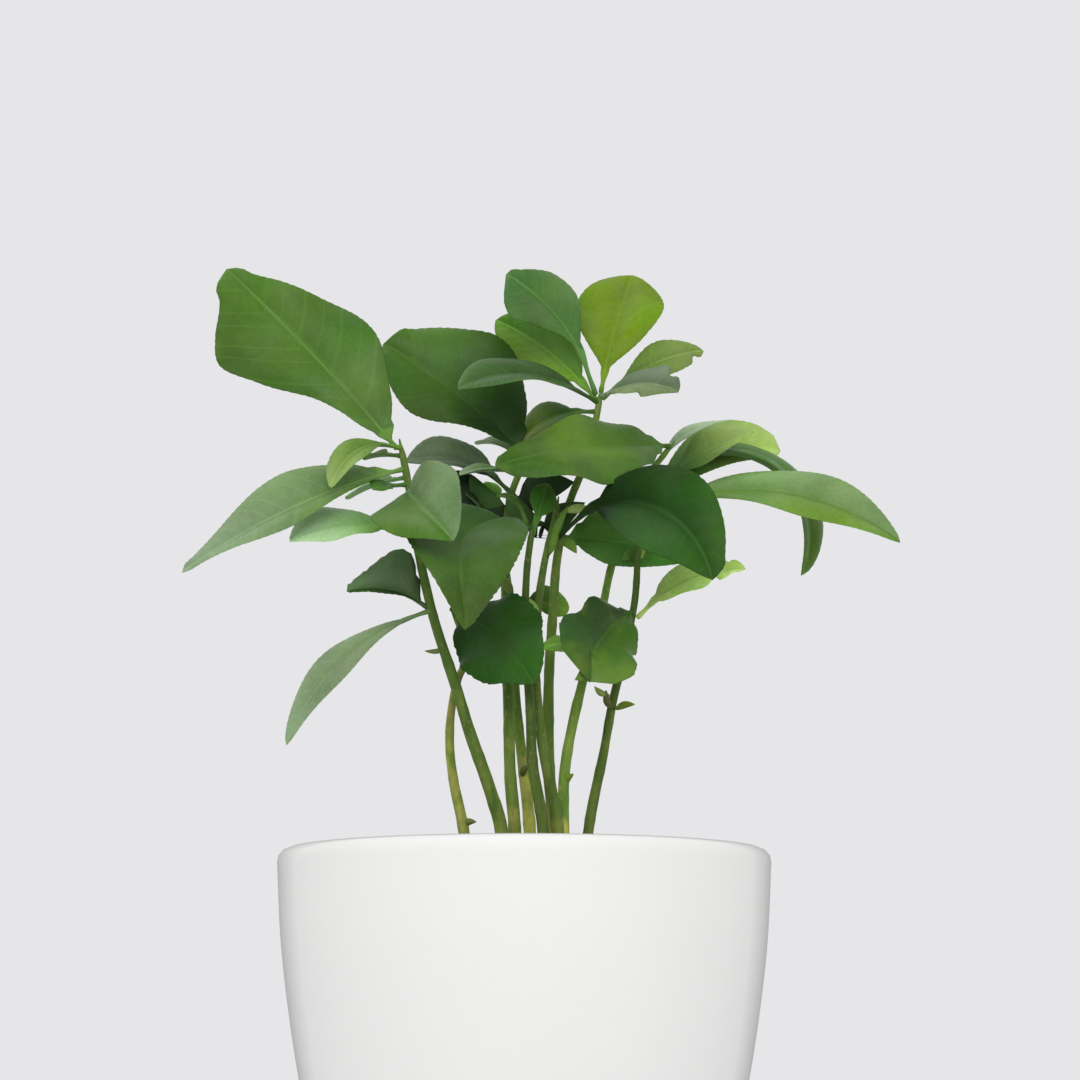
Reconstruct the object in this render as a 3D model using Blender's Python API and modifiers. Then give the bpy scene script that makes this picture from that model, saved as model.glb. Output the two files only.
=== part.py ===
"""A pot of young pomelo trees: a turned pot, its soil, nine stems and their leaves.

Lengths are in millimetres until they reach Blender, which gets metres. The
origin is the middle of the pot's flat foot, +Z is up, and -Y is the front.
"""

import math
from typing import NamedTuple

import bmesh
import bpy
import numpy as np
from mathutils import Vector

MM = 0.001
CLEARANCE = 0.3  # gap left between any two pieces that touch

# Pot: a tapered, slightly bellied tub with a rounded lip and a flat foot.
POT_RADIUS = 65.0  # at its widest, just under the lip
POT_HEIGHT = 112.0
POT_FOOT_RADIUS = 46.0  # where the wall would meet the table without its rounding
POT_WALL = 5.0
POT_FLOOR = 6.0
POT_BELLY = 1.65  # how late the taper sets in: 1 is a plain cone
LIP_OUTER_ROUND = 3.3
FOOT_ROUND = 5.0
INNER_CORNER = 2.5  # rounding where the inside wall meets the floor
POT_SIDES = 48
WALL_STEPS = 5
ROUND_STEPS = 3

# Soil: fills the pot to a little below its lip, and is highest in the middle.
SOIL_BELOW_LIP = 14.0
SOIL_CROWN = 2.0
CROWN_STEPS = 4
SOIL_TOP = POT_HEIGHT - SOIL_BELOW_LIP
SOCKET_DEPTH = 18.0  # how far each stem goes down into the soil
SOCKET_SIDES = 12

# Stems
STEM_FOOT_RADIUS = 2.0
STEM_TIP_RADIUS = 1.1
STEM_STEP = 7.0  # distance between a stem's rings
STEM_BEVEL = 2  # makes each ring eight-sided

# Leaves
LEAF_SIDES = 8
LEAF_RINGS = 12
STALK_RADIUS = 0.75
BLADE_THICKNESS = 0.7
MIDRIB_HEIGHT = 0.5  # how far the midrib stands proud of the underside
OCTAGON_REACH = math.cos(math.pi / LEAF_SIDES)  # an eight-sided stem's flats, as a share of its radius
BLUNTNESS = 0.8  # of the blade's ends: lower is blunter
NOTCHED_BLUNTNESS = 0.5
CLEFT_SHARPNESS = 6  # how late along the blade its tip's notch sets in
SEAT_SHARE = 0.004  # of the leaf's length, where the rounding of the stalk's foot ends
STALK_END_SHARE = 0.85  # of the stalk, where the blade's first ring may start
FIRST_RING_TURN = 0.08  # where the blade's rings start and how far they run, in half turns
RING_TURNS = 0.82
EDGE_SPREAD = 1.6  # how much thinner the blade gets toward its edges
MIDRIB_STEPS = 120
SPLINE_STEPS = 20  # between two of a stem's points

# Colour and roughness of each material
POT_WHITE = (0.88, 0.88, 0.88), 0.45
SOIL_PEAT = (0.05, 0.033, 0.022), 0.95
STEM_BARK = (0.1, 0.17, 0.035), 0.6
LEAF_GREEN = (0.07, 0.2, 0.04), 0.45

# Points that each stem passes through: (x, y, height above the soil).
STEMS = {
    "left": [(-5, -3, 0), (-6, -4, 18), (-10, -6, 32), (-17, -10, 53), (-23, -13, 72),
             (-28, -16, 92), (-30.5, -17, 108), (-33, -18, 121)],
    "far_left": [(-14, 1, 0), (-16, 2, 18), (-19, 4, 34), (-20, 5, 45), (-18, 6, 59),
                 (-15, 5, 67), (-17, 4, 73), (-20, 3, 79)],
    "mid_left": [(-2.5, 2, 0), (-2.5, 1.5, 18), (-4, 1, 40), (-4.5, 2, 58), (-5, 5, 84),
                 (-4.5, 8, 107), (1.5, 10, 125)],
    "mid": [(2, 5, 0), (1.5, 6, 19), (0, 8, 34), (-2, 11, 54), (-4, 13, 82), (-7, 12, 100),
            (-9, 12, 107)],
    "mid_front": [(5.5, -9, 0), (5, -9, 18), (2, -10, 38), (1, -10, 57), (0, -9, 80),
                  (2, -8, 101)],
    "centre": [(10, -3.5, 0), (9, -4, 18), (5, -6, 40), (3, -5, 60), (4, -1, 82), (8, 4, 102),
               (9, 6, 110)],
    "right": [(11, 3.5, 0), (10.5, 4, 18), (11, 6, 38), (15, 8, 57), (20, 10, 76), (24, 14, 94),
              (30, 13, 112), (41, 8.5, 126)],
    "tall": [(7, 13, 0), (8, 13.5, 18), (6.5, 13, 38), (6.5, 12, 58), (8, 11, 84),
             (11.5, 11, 107), (18, 10, 125), (21, 8, 141)],
    "far_right": [(15, 10, 0), (17, 10, 19), (23, 8, 51), (27, 6, 67), (30, 3, 82),
                  (31, 0, 98), (35, 0, 114)],
}


class Leaf(NamedTuple):
    """One leaf, in millimetres and degrees.

    height: of its foot above the soil. heading: compass direction of its stalk,
    0 to the right, 90 to the back, 180 to the left, 270 to the front.
    rise: how steeply the stalk climbs. droop: how far the midrib bends down
    from stalk to tip. roll: turn of the blade about its midrib. fold: how far
    each half is raised from flat. fullness: above 1 is widest near the tip.
    sway: how far the midrib bends round in plan. notch: how much of the
    blade's length its tip is cleft. left, right: where a half has an outline
    of its own instead of the width and the fullness, its width at even steps
    from stalk to tip, seen from the stalk with the upper face up.
    """

    name: str
    height: float
    heading: float
    rise: float
    droop: float
    length: float
    width: float
    roll: float
    fold: float
    fullness: float = 1.0
    stalk: float = 6.0
    sway: float = 0.0
    notch: float = 0.0
    left: tuple = ()
    right: tuple = ()


LEAVES = {
    "left": [
        Leaf("crown", 120, 171, 50, 6, 68, 34, -70, 8, stalk=4,
             left=(4.5, 6.5, 10.5, 18, 23, 19.5, 9.5), right=(8.5, 13.5, 16.5, 16, 13, 9, 4.5)),
        Leaf("strap", 119, 222, 7, 80, 28, 9, -30, 15, stalk=4),
        Leaf("bud", 117, 139, 17, 30, 13, 6, -20, 20, stalk=4),
        Leaf("long", 113, 206, -18, 20, 68, 22, -45, 10,
             left=(2, 4, 5.5, 6.5, 5.5, 3.5, 1.5), right=(8, 11, 11, 9.5, 7.5, 5, 2.5)),
        Leaf("small", 109, 216, -4, 20, 10, 8, -30, 10, stalk=4),
        Leaf("front", 107, 269, -11, 35, 40, 26, 48, 20, stalk=5, sway=50),
        Leaf("back", 111, 127, 6, 20, 27, 11, -30, 10),
        Leaf("grey", 96, 203, 15, 45, 34, 17, -38, 10, stalk=7),
        Leaf("arched", 78, 190, 33, 50, 21, 20, -62, 28, stalk=3.5,
             left=(0.9, 1.4, 1.9, 2.3, 2.3, 1.9, 1.1), right=(8.5, 11, 10, 8.4, 6, 3.8, 2)),
        Leaf("hanging", 76, 204, -19, 50, 55, 13, -25, 8),
    ],
    "far_left": [
        Leaf("low", 78, 313, -21, 30, 39, 25, 60, 8, stalk=3),
    ],
    "mid_left": [
        Leaf("crown", 123, 186, 43, 12, 48, 35, -77, 8, stalk=3,
             left=(3, 5.5, 8.5, 11.5, 13, 12.5, 8.5), right=(12, 17, 20, 19.5, 17, 14.5, 9.5)),
        Leaf("curled", 112, 190, 45, 65, 30, 15, -48, 20, stalk=5),
        Leaf("thin", 117, 226, -1, 20, 22, 6, -20, 20, stalk=5),
        Leaf("sliver", 121, 133, 45, 50, 20, 8, -20, 20, stalk=5),
    ],
    "mid": [
        Leaf("upright", 107, 170, 75, 5, 9, 7, -60, 10, stalk=2),
        Leaf("small", 105, 231, 37, 20, 12, 6, -50, 10, stalk=2),
        Leaf("shaded", 105, 169, 26, 20, 20, 22, -72, 10, stalk=3),
        Leaf("round", 82, 28, 9, 20, 17, 11, 60, 10, fullness=1.4, stalk=3),
    ],
    "mid_front": [
        Leaf("upright", 99, 54, 69, 10, 15, 8, 60, 10, stalk=4),
        Leaf("hook", 101, 175, 85, 90, 11, 4, -30, 10, stalk=4),
        Leaf("heart", 99, 214, 9, 95, 60, 32, -15, 10, fullness=0.8, stalk=4, sway=86),
    ],
    "centre": [
        Leaf("broad", 97, 321, 40, 115, 65, 30, 62, 25, stalk=16,
             left=(5.5, 9.5, 12, 13, 12.5, 10.5, 6.5)),
    ],
    "tall": [
        Leaf("crown", 140, 207, 72, 50, 41, 25, -78, 10, stalk=12,
             left=(1.5, 4, 6.5, 9, 11.5, 13, 12), right=(3.5, 7, 9.2, 10, 9.5, 7, 3.5)),
        Leaf("backlit", 141, 59, 71, 15, 40, 25, 20, 8, fullness=1.35, stalk=5),
        Leaf("bright", 138, 156, 52, 25, 39, 20, -70, 10, fullness=1.1),
        Leaf("narrow", 137, 214, 24, 55, 46, 17, -35, 12, stalk=5),
        Leaf("twisted", 139, 323, 16, 45, 25, 17, 40, 10, stalk=2),
        Leaf("light", 139, 15, 44, 35, 32, 12, 60, 10, fullness=1.4, stalk=5),
        Leaf("brown", 134, 168, 7, 60, 24, 14, -50, 10, stalk=5),
        Leaf("dark", 100, 352, -4, 15, 33, 21, 72, 8, stalk=2,
             left=(8, 10, 11, 11, 10, 8, 5), right=(4.5, 6.5, 7.5, 7.5, 7, 5.5, 3.5)),
    ],
    "right": [
        Leaf("wide", 124, 211, -2, 20, 55, 27, -52, 8, stalk=3,
             left=(9, 13, 15, 15.5, 14, 11, 6.5), right=(7.5, 9.5, 9.8, 9.3, 7.5, 5.5, 3.4)),
        Leaf("thin", 120, 36, 50, 56, 40, 9, 10, 10, stalk=5),
        Leaf("stub", 68, 233, 9, 30, 21, 5, -60, 10, stalk=3),
    ],
    "far_right": [
        Leaf("upper", 114, 350, 33, 15, 28, 14, 60, 10, fullness=1.1, stalk=5,
             right=(3, 4, 4, 3.5, 3, 2.2, 1.2)),
        Leaf("pale", 109, 29, 50, 55, 46, 19, 60, 10,
             left=(4, 6, 7.5, 8.5, 9.5, 9, 6.5), right=(3, 4, 4.5, 5, 5, 4.5, 3)),
        Leaf("arched", 112, 11, 56, 174, 69, 20, 20, 12),
        Leaf("long", 107, 342, 15, 54, 71, 20, 42, 10, stalk=10),
        Leaf("notched", 78, 238, -20, 40, 35, 24, -55, 12, stalk=3, notch=0.3, fullness=1.25),
        Leaf("torn", 78, 334, 43, 50, 33, 14, 55, 12, fullness=0.9, stalk=5),
    ],
}


# Curves


def spline(points, steps):
    """A smooth line through the points, in steps equal in length."""
    knots = [Vector(p) for p in points]
    ends = [2 * knots[0] - knots[1], *knots, 2 * knots[-1] - knots[-2]]
    dense = []
    for a, b, c, d in zip(ends, ends[1:], ends[2:], ends[3:]):
        for i in range(SPLINE_STEPS):
            t = i / SPLINE_STEPS
            bend = (2 * a - 5 * b + 4 * c - d) * t ** 2 + (3 * b - a - 3 * c + d) * t ** 3
            dense.append(b + 0.5 * ((c - a) * t + bend))
    dense.append(knots[-1])
    return evenly_spaced(dense, steps)


def evenly_spaced(line, steps):
    run = [0.0]
    for a, b in zip(line, line[1:]):
        run.append(run[-1] + (b - a).length)
    spaced = []
    i = 0
    for k in range(steps + 1):
        want = run[-1] * k / steps
        while i < len(line) - 2 and run[i + 1] < want:
            i += 1
        share = (want - run[i]) / (run[i + 1] - run[i])
        spaced.append(line[i].lerp(line[i + 1], min(1.0, share)))
    return spaced


def stem_line(stem):
    """The stem's middle, from the soil's surface up."""
    points = [(x, y, SOIL_TOP + height) for x, y, height in STEMS[stem]]
    length = sum((Vector(b) - Vector(a)).length for a, b in zip(points, points[1:]))
    return spline(points, round(length / STEM_STEP))


def stem_foot_direction(stem):
    first, second = (Vector(p) for p in STEMS[stem][:2])
    return (second - first).normalized()


def stem_radius(share):
    """The stem's radius at a share of its length above the soil."""
    return STEM_FOOT_RADIUS + (STEM_TIP_RADIUS - STEM_FOOT_RADIUS) * share


def point_on_stem(stem, height):
    """(middle, direction, radius) of a stem at a height above the soil."""
    line = stem_line(stem)
    last = len(line) - 2
    for i, (a, b) in enumerate(zip(line, line[1:])):
        if b.z - SOIL_TOP >= height or i == last:
            share = min(1.0, (SOIL_TOP + height - a.z) / (b.z - a.z))
            radius = stem_radius((i + share) / (last + 1))
            return a.lerp(b, share), (b - a).normalized(), radius


# Meshes


def metres(point):
    return Vector(point) * MM


def add_object(name, data, collection, material=None):
    obj = bpy.data.objects.new(name, data)
    collection.objects.link(obj)
    if material:
        data.materials.append(material)
    return obj


def turned(name, profile, sides, collection, material):
    """A solid of revolution. The profile runs down its outer side, from axis to axis."""
    mesh = bpy.data.meshes.new(name)
    outline = bmesh.new()
    verts = [outline.verts.new(metres((radius, 0, z))) for radius, z in profile]
    for a, b in zip(verts, verts[1:]):
        outline.edges.new((a, b))
    outline.to_mesh(mesh)
    outline.free()
    obj = add_object(name, mesh, collection, material)
    screw = obj.modifiers.new("turn", "SCREW")
    screw.steps = sides
    screw.render_steps = sides
    screw.use_merge_vertices = True
    screw.merge_threshold = 1e-6
    screw.use_smooth_shade = True
    return obj


def arc(centre, radius, start, end, steps=ROUND_STEPS):
    """Points on an arc in the (radius, z) plane; angles in degrees, 0 outward, 90 up."""
    points = []
    for i in range(steps + 1):
        angle = math.radians(start + (end - start) * i / steps)
        points.append((centre[0] + radius * math.cos(angle), centre[1] + radius * math.sin(angle)))
    return points


# Pot


def pot_outer_radius(z):
    """Radius of the pot's outside at height z, below its lip."""
    drop = (POT_HEIGHT - LIP_OUTER_ROUND - z) / (POT_HEIGHT - LIP_OUTER_ROUND)
    return POT_RADIUS - (POT_RADIUS - POT_FOOT_RADIUS) * max(0.0, drop) ** POT_BELLY


def pot_inner_wall():
    """Points up the pot's inside, from the rounding at its floor to the lip's."""
    low = POT_FLOOR + INNER_CORNER
    return [(pot_outer_radius(z) - POT_WALL, z) for z in wall_heights(low, POT_HEIGHT - LIP_OUTER_ROUND)]


def pot_profile():
    lip_inner_round = POT_WALL - LIP_OUTER_ROUND
    lip_middle = POT_RADIUS - LIP_OUTER_ROUND
    inside = pot_inner_wall()
    lip = [
        *arc((lip_middle, POT_HEIGHT - lip_inner_round), lip_inner_round, 180, 90),
        *arc((lip_middle, POT_HEIGHT - LIP_OUTER_ROUND), LIP_OUTER_ROUND, 90, 0)[1:],
    ]
    outside = [(pot_outer_radius(z), z) for z in wall_heights(FOOT_ROUND, POT_HEIGHT - LIP_OUTER_ROUND)]
    foot = arc((pot_outer_radius(FOOT_ROUND) - FOOT_ROUND, FOOT_ROUND), FOOT_ROUND, 0, -90)
    return [
        (0, POT_FLOOR),
        *arc((inside[0][0] - INNER_CORNER, inside[0][1]), INNER_CORNER, -90, 0)[:-1],
        *inside,
        *lip,
        *outside[-2::-1],
        *foot[1:],
        (0, 0),
    ]


def wall_heights(low, high):
    return [low + (high - low) * i / WALL_STEPS for i in range(WALL_STEPS + 1)]


def make_pot(collection):
    glaze = material("pot_white", POT_WHITE)
    return turned("pot", pot_profile(), POT_SIDES, collection, glaze)


# Soil


def soil_profile():
    """The soil's outline: the crown, then the pot's own wall and corner less the clearance."""
    edge = SOIL_TOP - SOIL_CROWN
    inside = pot_inner_wall()
    below = [point for point in inside if point[1] < edge]
    (low_radius, low), (high_radius, high) = below[-1], inside[len(below)]
    edge_radius = low_radius + (high_radius - low_radius) * (edge - low) / (high - low)
    wall = [(radius - CLEARANCE, z) for radius, z in [*below, (edge_radius, edge)]]
    crown = []
    for i in range(CROWN_STEPS):
        share = i / CROWN_STEPS
        crown.append((wall[-1][0] * share, edge + SOIL_CROWN * (1 - share ** 2)))
    corner = (inside[0][0] - INNER_CORNER, inside[0][1])
    rounding = arc(corner, INNER_CORNER - CLEARANCE, 0, -90)
    return [*crown, *wall[::-1], *rounding[1:], (0, POT_FLOOR + CLEARANCE)]


def cylinder_cutter(name, low, high, radius, sides, collection):
    """A capped cylinder between two points, to cut with."""
    mesh = bpy.data.meshes.new(name)
    shape = bmesh.new()
    bmesh.ops.create_cone(shape, cap_ends=True, segments=sides, radius1=radius * MM,
                          radius2=radius * MM, depth=(high - low).length * MM)
    shape.to_mesh(mesh)
    shape.free()
    obj = add_object(name, mesh, collection)
    obj.location = metres((low + high) / 2)
    obj.rotation_mode = "QUATERNION"
    obj.rotation_quaternion = (high - low).to_track_quat("Z", "Y")
    obj.hide_render = True
    obj.display_type = "WIRE"
    return obj


def make_soil(collection, cutters):
    peat = material("soil_peat", SOIL_PEAT)
    soil = turned("soil", soil_profile(), POT_SIDES, collection, peat)
    radius = (STEM_FOOT_RADIUS + CLEARANCE) / math.cos(math.pi / SOCKET_SIDES)
    for stem in STEMS:
        foot = stem_line(stem)[0]
        along = stem_foot_direction(stem)
        low = foot - along * (SOCKET_DEPTH + CLEARANCE)
        high = foot + along * 2 * STEM_FOOT_RADIUS
        socket = cylinder_cutter(f"socket_{stem}", low, high, radius, SOCKET_SIDES, cutters)
        cut = soil.modifiers.new(socket.name, "BOOLEAN")
        cut.operation = "DIFFERENCE"
        cut.object = socket
    return soil


# Stems


def make_stem(stem, collection):
    """A tapering round stem, with a straight foot that goes down into its socket."""
    line = stem_line(stem)
    buried = line[0] - stem_foot_direction(stem) * SOCKET_DEPTH
    name = f"stem_{stem}"
    curve = bpy.data.curves.new(name, "CURVE")
    curve.dimensions = "3D"
    curve.bevel_depth = MM
    curve.bevel_resolution = STEM_BEVEL
    curve.use_fill_caps = True
    path = curve.splines.new("POLY")
    path.points.add(len(line))
    for i, point in enumerate([buried, *line]):
        path.points[i].co = (*metres(point), 1)
        path.points[i].radius = stem_radius(max(0, i - 1) / (len(line) - 1))
    bark = material(f"{name}_bark", STEM_BARK)
    return add_object(name, curve, collection, bark)


# Leaves


def direction(heading, rise):
    h, r = math.radians(heading), math.radians(rise)
    return Vector((math.cos(r) * math.cos(h), math.cos(r) * math.sin(h), math.sin(r)))


def leaf_start(leaf, stem):
    """The middle of the stalk's foot, just clear of the bark or of the stem's cut end."""
    middle, along, radius = point_on_stem(stem, leaf.height)
    out = direction(leaf.heading, leaf.rise)
    lean = out.dot(along)
    sideways = (out - along * lean).normalized()
    return middle + sideways * (OCTAGON_REACH * (radius + STALK_RADIUS * abs(lean)) + CLEARANCE)


def outline_width(outline, blade):
    """The width that an outline of even steps has at a share of the blade, with rounded ends."""
    steps = [(i + 1) / (len(outline) + 1) for i in range(len(outline))]
    fullness = [width / math.sqrt(step * (1 - step)) for step, width in zip(steps, outline)]
    return float(np.interp(blade, steps, fullness)) * math.sqrt(max(0.0, blade * (1 - blade)))


def half_width(leaf, share, side):
    """The blade's width on one side at a share of the leaf's length, or the stalk's radius."""
    blade = (share * leaf.length - leaf.stalk) / (leaf.length - leaf.stalk)
    if blade <= 0:
        return STALK_RADIUS
    outline = leaf.left if side > 0 else leaf.right
    if outline:
        return max(STALK_RADIUS * (1 - blade), outline_width(outline, blade))
    bluntness = NOTCHED_BLUNTNESS if leaf.notch else BLUNTNESS
    swell = math.sin(math.pi * blade ** leaf.fullness) ** bluntness
    return max(STALK_RADIUS * (1 - blade), leaf.width / 2 * swell)


def ring_shares(leaf):
    """How far along the leaf each ring of its mesh lies: closest together near the ends."""
    stalk = leaf.stalk / leaf.length
    count = LEAF_RINGS - 3
    blade = []
    for i in range(count):
        turn = math.pi * (FIRST_RING_TURN + RING_TURNS * i / (count - 1))
        blade.append(stalk + (1 - stalk) * (1 - math.cos(turn)) / 2)
    return [0.0, SEAT_SHARE, stalk * STALK_END_SHARE, *blade, 1.0]


def midrib_frames(leaf, stem, shares):
    """(point, across, up, along) on the midrib at each share of the leaf's length."""
    frames = []
    at = leaf_start(leaf, stem)
    for i in range(MIDRIB_STEPS + 1):
        share = i / MIDRIB_STEPS
        heading = leaf.heading + leaf.sway * share
        rise = leaf.rise - leaf.droop * share
        along = direction(heading, rise)
        up = direction(heading, rise + 90)
        roll = math.radians(leaf.roll) * min(1.0, share * leaf.length / leaf.stalk)
        up = up * math.cos(roll) + along.cross(up) * math.sin(roll)
        across = up.cross(along)
        for wanted in shares[len(frames):]:
            if wanted >= share + 1 / MIDRIB_STEPS:
                break
            frames.append((at + along * leaf.length * (wanted - share), across, up, along))
        at = at + along * leaf.length / MIDRIB_STEPS
    return frames


def leaf_point(leaf, share, frame, side, height):
    """Where a point of the unit sphere's ring goes: side is -1 to 1 across, height -1 to 1 through."""
    at, across, up, along = frame
    blade = min(1.0, max(0.0, (share * leaf.length - leaf.stalk) / (2 * STALK_RADIUS) + 0.5))
    half = half_width(leaf, share, side)
    spread = side + (math.copysign(abs(side) ** EDGE_SPREAD, side) - side) * blade
    fold = math.radians(leaf.fold) * blade
    thick = STALK_RADIUS + (BLADE_THICKNESS / 2 - STALK_RADIUS) * blade
    if height < 0:
        thick += blade * MIDRIB_HEIGHT * (1 - abs(side)) * (1 - share)
    cleft = leaf.notch * leaf.length * (1 - abs(spread)) * share ** CLEFT_SHARPNESS
    reach = across * half * spread * math.cos(fold)
    lift = up * (half * abs(spread) * math.sin(fold) + thick * height)
    return at + reach + lift - along * cleft


def make_leaf(leaf, stem, collection):
    """A sphere whose rings are drawn out along the midrib and pressed into a thin blade."""
    name = f"leaf_{stem}_{leaf.name}"
    ball = bmesh.new()
    bmesh.ops.create_uvsphere(ball, u_segments=LEAF_SIDES, v_segments=LEAF_RINGS, radius=1.0)
    shares = ring_shares(leaf)
    frames = midrib_frames(leaf, stem, shares)
    for vertex in ball.verts:
        ring = round(LEAF_RINGS * math.acos(max(-1.0, min(1.0, -vertex.co.z))) / math.pi)
        ring_radius = math.hypot(vertex.co.x, vertex.co.y)
        side, height = 0.0, 0.0
        if 0 < ring < LEAF_RINGS:
            side, height = vertex.co.x / ring_radius, vertex.co.y / ring_radius
        vertex.co = metres(leaf_point(leaf, shares[ring], frames[ring], side, height))
    mesh = bpy.data.meshes.new(name)
    ball.to_mesh(mesh)
    ball.free()
    mesh.shade_smooth()
    green = material(f"{name}_green", LEAF_GREEN)
    return add_object(name, mesh, collection, green)


# Materials and scene


def material(name, look):
    colour, roughness = look
    made = bpy.data.materials.new(name)
    made.use_nodes = True
    shader = made.node_tree.nodes["Principled BSDF"]
    shader.inputs["Base Color"].default_value = (*colour, 1)
    shader.inputs["Roughness"].default_value = roughness
    shader.inputs["Metallic"].default_value = 0.0
    return made


def new_collection(name):
    made = bpy.data.collections.new(name)
    bpy.context.scene.collection.children.link(made)
    return made


def main():
    for obj in list(bpy.data.objects):
        bpy.data.objects.remove(obj)
    tree = new_collection("potted_pomelo")
    cutters = new_collection("cutters")
    make_pot(tree)
    make_soil(tree, cutters)
    for stem in STEMS:
        make_stem(stem, tree)
        for leaf in LEAVES[stem]:
            make_leaf(leaf, stem, tree)


main()
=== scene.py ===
"""The looks of a pot of young pomelo trees, built round its packed frame.

The frame gives every piece its place: the pot's profile, the soil's surface, each stem's line and
each leaf's outline are read from its nodes. Lengths named here are in millimetres, and Blender
gets metres. -Y is the front and +Z is up.
"""

import math
from typing import NamedTuple

import bmesh
import bpy
import numpy as np
from mathutils import Euler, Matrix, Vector, noise


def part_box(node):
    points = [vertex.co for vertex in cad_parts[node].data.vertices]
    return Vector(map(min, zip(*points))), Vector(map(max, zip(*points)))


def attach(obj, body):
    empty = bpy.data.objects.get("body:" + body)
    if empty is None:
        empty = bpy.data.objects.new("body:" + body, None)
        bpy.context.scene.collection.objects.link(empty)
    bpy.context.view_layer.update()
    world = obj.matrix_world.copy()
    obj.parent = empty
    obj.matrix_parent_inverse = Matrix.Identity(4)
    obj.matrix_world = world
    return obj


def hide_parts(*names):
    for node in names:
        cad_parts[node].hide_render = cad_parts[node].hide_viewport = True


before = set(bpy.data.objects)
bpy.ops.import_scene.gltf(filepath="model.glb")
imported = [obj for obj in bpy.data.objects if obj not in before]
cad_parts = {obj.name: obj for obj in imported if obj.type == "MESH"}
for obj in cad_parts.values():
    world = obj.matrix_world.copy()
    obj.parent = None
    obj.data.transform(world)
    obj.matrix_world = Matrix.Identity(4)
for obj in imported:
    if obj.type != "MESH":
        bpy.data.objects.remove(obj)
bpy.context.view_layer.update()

bl_info = {
    "name": "Potted pomelo trees",
    "version": (1, 0, 0),
    "blender": (4, 5, 0),
    "location": "3D View > Sidebar > Pomelo",
    "description": "Makes the leaves, stems, soil and pot of a pot of young pomelo trees",
    "category": "Add Mesh",
}

MM = 0.001
BODY = "root"
WELD = 1e-6
RING = 8  # corners of a packed leaf's or stem's cross-section
PACKED_HALF_BLADE = 0.35  # half the packed blade's thickness


# Colours


def linear(colour):
    """A colour named by its eye-even sRGB values, as the light values that shaders take."""
    values = np.asarray(colour, float)
    low = values / 12.92
    high = ((values + 0.055) / 1.055) ** 2.4
    return np.where(values <= 0.04045, low, high)


def gamma(name, description, colour):
    return bpy.props.FloatVectorProperty(
        name=name, description=description, subtype="COLOR_GAMMA", size=3, min=0, max=1,
        default=colour)


def length(name, description, millimetres):
    return bpy.props.FloatProperty(
        name=name, description=description, unit="LENGTH", subtype="DISTANCE", min=0,
        default=millimetres * MM, precision=5)


class PomeloLeaves(bpy.types.PropertyGroup):
    """Greens that the leaves are mixed from, some of them painted shade, painted light or painted sheen, and
    the size of their relief.
    """

    # Night, deep and dark green are painted shade: darker copies of the leaves' green for blades deep in the
    # crown, facing away or in half shade, besides the real darker green of old blades.
    night: gamma("Night green", "Blades deepest in the crown", (0.10, 0.18, 0.075))
    deep: gamma("Deep green", "Old blades that face down or away", (0.16, 0.27, 0.11))
    dark: gamma("Dark green", "Old blades in half shade", (0.21, 0.34, 0.14))
    leaf: gamma("Leaf green", "Grown blades in the light", (0.30, 0.44, 0.17))
    fresh: gamma("Fresh green", "Blades that have just opened out", (0.38, 0.52, 0.21))
    # Painted light: the glow of light shining through a thin blade from behind.
    lime: gamma("Lime green", "Thin young blades with light behind them", (0.46, 0.59, 0.15))
    straw: gamma("Straw green", "Pale young blades and torn edges", (0.56, 0.66, 0.36))
    # Painted sheen: the grey-green of light reflected off a blade's upper face, painted on halves and tips
    # that face the sky. It is also the paler green mixed into undersides.
    bloom: gamma("Bloom", "Grey-green waxy bloom on a blade that faces the sky", (0.50, 0.59, 0.45))
    silver: gamma("Silver", "The palest undersides", (0.62, 0.69, 0.57))
    blue: gamma("Blue green", "Cool young blades near the top", (0.30, 0.45, 0.23))
    olive: gamma("Olive", "Yellowing patches and undersides of old blades", (0.40, 0.46, 0.22))
    thickness: length("Thickness", "Thickness of a blade at its midrib", 0.42)
    petiole: length("Petiole radius", "Radius of a leaf stalk", 0.55)
    groove: length("Midrib groove", "Depth of the groove over a midrib", 0.16)
    quilting: length("Quilting", "How far a blade swells up between its side veins", 0.07)


class PomeloStems(bpy.types.PropertyGroup):
    """Bark colours and the shape of the stems' joints."""

    bark: gamma("Bark", "Green bark of the stems", (0.46, 0.56, 0.23))
    shade: gamma("Shaded bark", "Bark inside the crown", (0.31, 0.43, 0.16))
    wood: gamma("Wood", "Yellow-green wood at the stems' feet", (0.66, 0.68, 0.31))
    scar: gamma("Scar", "Corky scars and flecks", (0.55, 0.53, 0.30))
    swelling: length("Joint swelling", "How far a stem swells at each joint", 0.14)
    joint_spacing: length("Joint spacing", "Distance between a stem's joints", 13)
    sides: bpy.props.IntProperty(name="Sides", description="Sides of a stem", min=6, default=20)


class PomeloSoil(bpy.types.PropertyGroup):
    """The potting mix."""

    peat: gamma("Peat", "Dark peat of the mix", (0.17, 0.12, 0.09))
    bark_chip: gamma("Bark chip", "Lighter chips in the mix", (0.36, 0.26, 0.18))
    perlite: gamma("Perlite", "White grains in the mix", (0.80, 0.79, 0.75))
    crumb: length("Crumb size", "Size of a crumb of peat", 1.5)
    grain: length("Grain size", "Size of a grain of perlite", 1.3)
    crumbs: bpy.props.IntProperty(name="Crumbs", description="Crumbs in a square centimetre",
                                  min=0, default=26)
    grains: bpy.props.IntProperty(name="Grains", description="Perlite grains in ten square "
                                  "centimetres", min=0, default=14)


class PomeloPot(bpy.types.PropertyGroup):
    """The pot."""

    glaze: gamma("Glaze", "White of the pot", (0.9, 0.9, 0.893))
    sides: bpy.props.IntProperty(name="Sides", description="Sides round the pot", min=24,
                                 default=192)


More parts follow.
